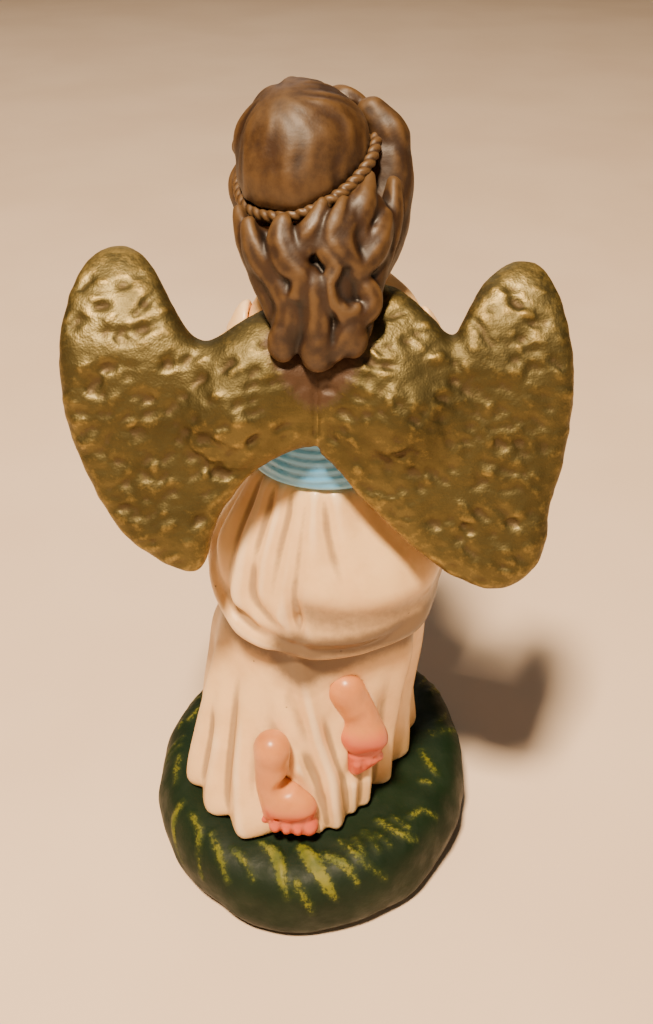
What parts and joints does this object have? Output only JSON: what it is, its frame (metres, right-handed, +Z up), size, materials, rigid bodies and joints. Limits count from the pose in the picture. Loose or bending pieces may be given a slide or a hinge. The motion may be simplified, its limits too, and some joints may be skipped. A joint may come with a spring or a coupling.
{
  "type": "angel figurine",
  "caption": "Kneeling angel figurine with gold wings, white robe, blue sash and bound hair, on an oval grass mound.",
  "frame": {"origin": "centre of the felt underside, on the surface that the figurine stands on", "axes": "+Z up; the angel faces -Y, its back and wings face +Y, and its left side is +X"},
  "size_m": [0.0587, 0.0553, 0.1085],
  "materials": {
    "felt": "felt",
    "grass_paint": "satin dark green paint with yellow-green brush strokes",
    "robe_paint": "satin cream paint, darker in the folds",
    "sash_paint": "gloss light blue paint",
    "skin_paint": "satin flesh paint with red toes and cheeks",
    "hair_paint": "satin brown paint, lighter on the raised locks",
    "wing_paint": "metallic gold paint",
    "steel": "drawn wire"
  },
  "bodies": {
    "root": {"felt_pad": "felt", "base": "grass_paint", "skirt": "robe_paint", "left_foot": "skin_paint", "right_foot": "skin_paint", "tunic": "robe_paint", "waist_sash": "sash_paint", "bodice": "robe_paint", "left_sleeve": "robe_paint", "right_sleeve": "robe_paint", "left_hand": "skin_paint", "right_hand": "skin_paint", "neck": "skin_paint", "head": "skin_paint", "hair_cap": "hair_paint", "headband": "hair_paint", "hair_front": "hair_paint", "hair_left": "hair_paint", "hair_right": "hair_paint", "hair_back": "hair_paint", "left_wing": "wing_paint", "right_wing": "wing_paint", "armature_rod": "steel", "wing_pins": "steel"}
  },
  "joints": []
}
